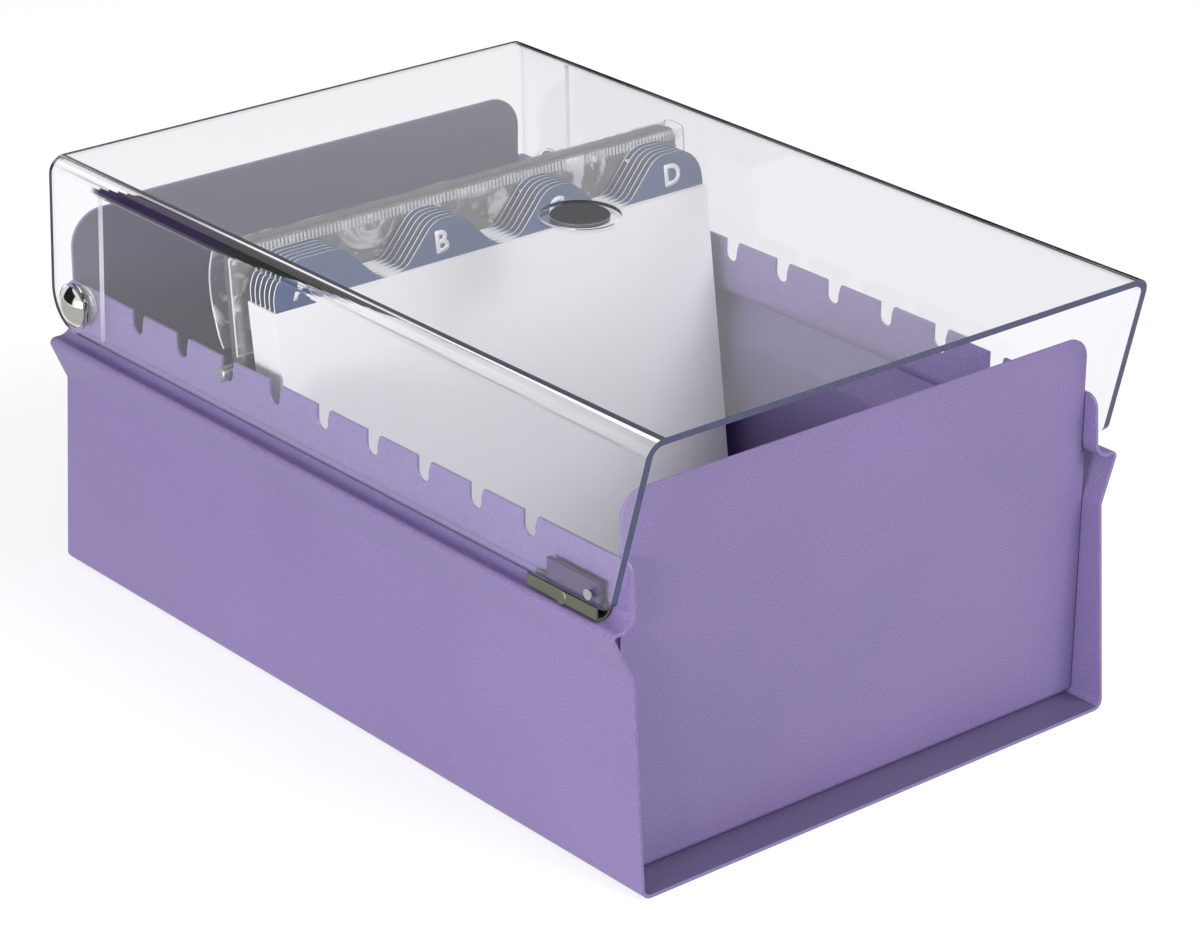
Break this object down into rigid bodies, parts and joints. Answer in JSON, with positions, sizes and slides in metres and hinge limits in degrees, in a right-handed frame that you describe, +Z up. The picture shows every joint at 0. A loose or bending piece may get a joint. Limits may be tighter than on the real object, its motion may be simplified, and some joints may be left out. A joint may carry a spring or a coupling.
{
  "type": "index card drawer",
  "caption": "Open-ended folded steel card trough with notched side flanges, a clear lid hinged at the back, a support plate and a tabbed A-Z guide set.",
  "frame": {"origin": "on the ground, under the middle of the trough's floor", "axes": "+Y from the front panel to the back panel, +Z up, +X to the right seen from the front"},
  "size_m": [0.1872, 0.272, 0.1316],
  "materials": {
    "powder_coat": "lilac powder coat, fine texture",
    "clear_plastic": "clear, polished edges",
    "disc": "dark grey, fine matt",
    "bright_rivet": "polished nickel plate",
    "washer": "natural nylon",
    "catch_steel": "olive grey passivated steel",
    "magnet": "black moulded ferrite strip",
    "support_steel": "dark grey powder coat",
    "lug_steel": "dark grey steel pin",
    "film": "thin clear film",
    "guide_board": "white board with navy tabs"
  },
  "bodies": {
    "trough": {"trough": "powder_coat", "front_panel": "powder_coat", "back_panel": "powder_coat", "pivot_rivet_left": "bright_rivet", "pivot_rivet_right": "bright_rivet", "pivot_washer_left": "washer", "pivot_washer_right": "washer"},
    "lid": {"lid": "clear_plastic", "lid_hinge_plate_left": "clear_plastic", "lid_hinge_plate_right": "clear_plastic", "catch_clip_left": "catch_steel", "catch_clip_right": "catch_steel", "catch_magnet_left": "magnet", "catch_magnet_right": "magnet", "catch_rivet_left": "bright_rivet", "catch_rivet_right": "bright_rivet", "lid_disc_ring": "clear_plastic", "lid_disc": "disc"},
    "support": {"support_plate": "support_steel", "support_lug_left": "lug_steel", "support_lug_right": "lug_steel", "register_sleeve": "film"},
    "guide_01_leaf": {"guide_01": "guide_board"},
    "guide_02_leaf": {"guide_02": "guide_board"},
    "guide_03_leaf": {"guide_03": "guide_board"},
    "guide_04_leaf": {"guide_04": "guide_board"},
    "guide_05_leaf": {"guide_05": "guide_board"},
    "guide_06_leaf": {"guide_06": "guide_board"},
    "guide_07_leaf": {"guide_07": "guide_board"},
    "guide_08_leaf": {"guide_08": "guide_board"},
    "guide_09_leaf": {"guide_09": "guide_board"},
    "guide_10_leaf": {"guide_10": "guide_board"},
    "guide_11_leaf": {"guide_11": "guide_board"},
    "guide_12_leaf": {"guide_12": "guide_board"},
    "guide_13_leaf": {"guide_13": "guide_board"},
    "guide_14_leaf": {"guide_14": "guide_board"},
    "guide_15_leaf": {"guide_15": "guide_board"},
    "guide_16_leaf": {"guide_16": "guide_board"},
    "guide_17_leaf": {"guide_17": "guide_board"},
    "guide_18_leaf": {"guide_18": "guide_board"},
    "guide_19_leaf": {"guide_19": "guide_board"},
    "guide_20_leaf": {"guide_20": "guide_board"},
    "guide_21_leaf": {"guide_21": "guide_board"},
    "guide_22_leaf": {"guide_22": "guide_board"},
    "guide_23_leaf": {"guide_23": "guide_board"},
    "guide_24_leaf": {"guide_24": "guide_board"}
  },
  "joints": [
    {"name": "lid_hinge", "type": "hinge", "parent": "trough", "child": "lid", "pos_m": [0, 0.1158, 0.089], "axis": [-1, 0, 0], "range_deg": [0, 90]},
    {"name": "support_tilt", "type": "hinge", "parent": "trough", "child": "support", "pos_m": [0, 0.0457, 0.0894], "axis": [-1, 0, 0], "range_deg": [0, 3.5]},
    {"name": "guide_01_tip", "type": "hinge", "parent": "trough", "child": "guide_01_leaf", "pos_m": [0, 0.01373, 0.00136], "axis": [1, 0, 0], "range_deg": [0, 45]},
    {"name": "guide_02_tip", "type": "hinge", "parent": "trough", "child": "guide_02_leaf", "pos_m": [0, 0.01428, 0.00136], "axis": [1, 0, 0], "range_deg": [0, 43.13]},
    {"name": "guide_03_tip", "type": "hinge", "parent": "trough", "child": "guide_03_leaf", "pos_m": [0, 0.01483, 0.00136], "axis": [1, 0, 0], "range_deg": [0, 41.25]},
    {"name": "guide_04_tip", "type": "hinge", "parent": "trough", "child": "guide_04_leaf", "pos_m": [0, 0.01538, 0.00136], "axis": [1, 0, 0], "range_deg": [0, 39.38]},
    {"name": "guide_05_tip", "type": "hinge", "parent": "trough", "child": "guide_05_leaf", "pos_m": [0, 0.01593, 0.00136], "axis": [1, 0, 0], "range_deg": [0, 37.5]},
    {"name": "guide_06_tip", "type": "hinge", "parent": "trough", "child": "guide_06_leaf", "pos_m": [0, 0.01648, 0.00136], "axis": [1, 0, 0], "range_deg": [0, 35.63]},
    {"name": "guide_07_tip", "type": "hinge", "parent": "trough", "child": "guide_07_leaf", "pos_m": [0, 0.01703, 0.00136], "axis": [1, 0, 0], "range_deg": [0, 33.75]},
    {"name": "guide_08_tip", "type": "hinge", "parent": "trough", "child": "guide_08_leaf", "pos_m": [0, 0.01758, 0.00136], "axis": [1, 0, 0], "range_deg": [0, 31.88]},
    {"name": "guide_09_tip", "type": "hinge", "parent": "trough", "child": "guide_09_leaf", "pos_m": [0, 0.01813, 0.00136], "axis": [1, 0, 0], "range_deg": [0, 30]},
    {"name": "guide_10_tip", "type": "hinge", "parent": "trough", "child": "guide_10_leaf", "pos_m": [0, 0.01868, 0.00136], "axis": [1, 0, 0], "range_deg": [0, 28.13]},
    {"name": "guide_11_tip", "type": "hinge", "parent": "trough", "child": "guide_11_leaf", "pos_m": [0, 0.01923, 0.00136], "axis": [1, 0, 0], "range_deg": [0, 26.25]},
    {"name": "guide_12_tip", "type": "hinge", "parent": "trough", "child": "guide_12_leaf", "pos_m": [0, 0.01978, 0.00136], "axis": [1, 0, 0], "range_deg": [0, 24.38]},
    {"name": "guide_13_tip", "type": "hinge", "parent": "trough", "child": "guide_13_leaf", "pos_m": [0, 0.02033, 0.00136], "axis": [1, 0, 0], "range_deg": [0, 22.5]},
    {"name": "guide_14_tip", "type": "hinge", "parent": "trough", "child": "guide_14_leaf", "pos_m": [0, 0.02088, 0.00136], "axis": [1, 0, 0], "range_deg": [0, 20.63]},
    {"name": "guide_15_tip", "type": "hinge", "parent": "trough", "child": "guide_15_leaf", "pos_m": [0, 0.02143, 0.00136], "axis": [1, 0, 0], "range_deg": [0, 18.75]},
    {"name": "guide_16_tip", "type": "hinge", "parent": "trough", "child": "guide_16_leaf", "pos_m": [0, 0.02198, 0.00136], "axis": [1, 0, 0], "range_deg": [0, 16.88]},
    {"name": "guide_17_tip", "type": "hinge", "parent": "trough", "child": "guide_17_leaf", "pos_m": [0, 0.02253, 0.00136], "axis": [1, 0, 0], "range_deg": [0, 15]},
    {"name": "guide_18_tip", "type": "hinge", "parent": "trough", "child": "guide_18_leaf", "pos_m": [0, 0.02308, 0.00136], "axis": [1, 0, 0], "range_deg": [0, 13.13]},
    {"name": "guide_19_tip", "type": "hinge", "parent": "trough", "child": "guide_19_leaf", "pos_m": [0, 0.02363, 0.00136], "axis": [1, 0, 0], "range_deg": [0, 11.25]},
    {"name": "guide_20_tip", "type": "hinge", "parent": "trough", "child": "guide_20_leaf", "pos_m": [0, 0.02418, 0.00136], "axis": [1, 0, 0], "range_deg": [0, 9.38]},
    {"name": "guide_21_tip", "type": "hinge", "parent": "trough", "child": "guide_21_leaf", "pos_m": [0, 0.02473, 0.00136], "axis": [1, 0, 0], "range_deg": [0, 7.5]},
    {"name": "guide_22_tip", "type": "hinge", "parent": "trough", "child": "guide_22_leaf", "pos_m": [0, 0.02528, 0.00136], "axis": [1, 0, 0], "range_deg": [0, 5.63]},
    {"name": "guide_23_tip", "type": "hinge", "parent": "trough", "child": "guide_23_leaf", "pos_m": [0, 0.02583, 0.00136], "axis": [1, 0, 0], "range_deg": [0, 3.75]},
    {"name": "guide_24_tip", "type": "hinge", "parent": "trough", "child": "guide_24_leaf", "pos_m": [0, 0.02638, 0.00136], "axis": [1, 0, 0], "range_deg": [0, 1.88]}
  ],
  "couplings": [
    {"joint": "guide_02_tip", "follows": "guide_01_tip", "ratio": 0.95833},
    {"joint": "guide_03_tip", "follows": "guide_01_tip", "ratio": 0.91667},
    {"joint": "guide_04_tip", "follows": "guide_01_tip", "ratio": 0.875},
    {"joint": "guide_05_tip", "follows": "guide_01_tip", "ratio": 0.83333},
    {"joint": "guide_06_tip", "follows": "guide_01_tip", "ratio": 0.79167},
    {"joint": "guide_07_tip", "follows": "guide_01_tip", "ratio": 0.75},
    {"joint": "guide_08_tip", "follows": "guide_01_tip", "ratio": 0.70833},
    {"joint": "guide_09_tip", "follows": "guide_01_tip", "ratio": 0.66667},
    {"joint": "guide_10_tip", "follows": "guide_01_tip", "ratio": 0.625},
    {"joint": "guide_11_tip", "follows": "guide_01_tip", "ratio": 0.58333},
    {"joint": "guide_12_tip", "follows": "guide_01_tip", "ratio": 0.54167},
    {"joint": "guide_13_tip", "follows": "guide_01_tip", "ratio": 0.5},
    {"joint": "guide_14_tip", "follows": "guide_01_tip", "ratio": 0.45833},
    {"joint": "guide_15_tip", "follows": "guide_01_tip", "ratio": 0.41667},
    {"joint": "guide_16_tip", "follows": "guide_01_tip", "ratio": 0.375},
    {"joint": "guide_17_tip", "follows": "guide_01_tip", "ratio": 0.33333},
    {"joint": "guide_18_tip", "follows": "guide_01_tip", "ratio": 0.29167},
    {"joint": "guide_19_tip", "follows": "guide_01_tip", "ratio": 0.25},
    {"joint": "guide_20_tip", "follows": "guide_01_tip", "ratio": 0.20833},
    {"joint": "guide_21_tip", "follows": "guide_01_tip", "ratio": 0.16667},
    {"joint": "guide_22_tip", "follows": "guide_01_tip", "ratio": 0.125},
    {"joint": "guide_23_tip", "follows": "guide_01_tip", "ratio": 0.083333},
    {"joint": "guide_24_tip", "follows": "guide_01_tip", "ratio": 0.041667}
  ]
}
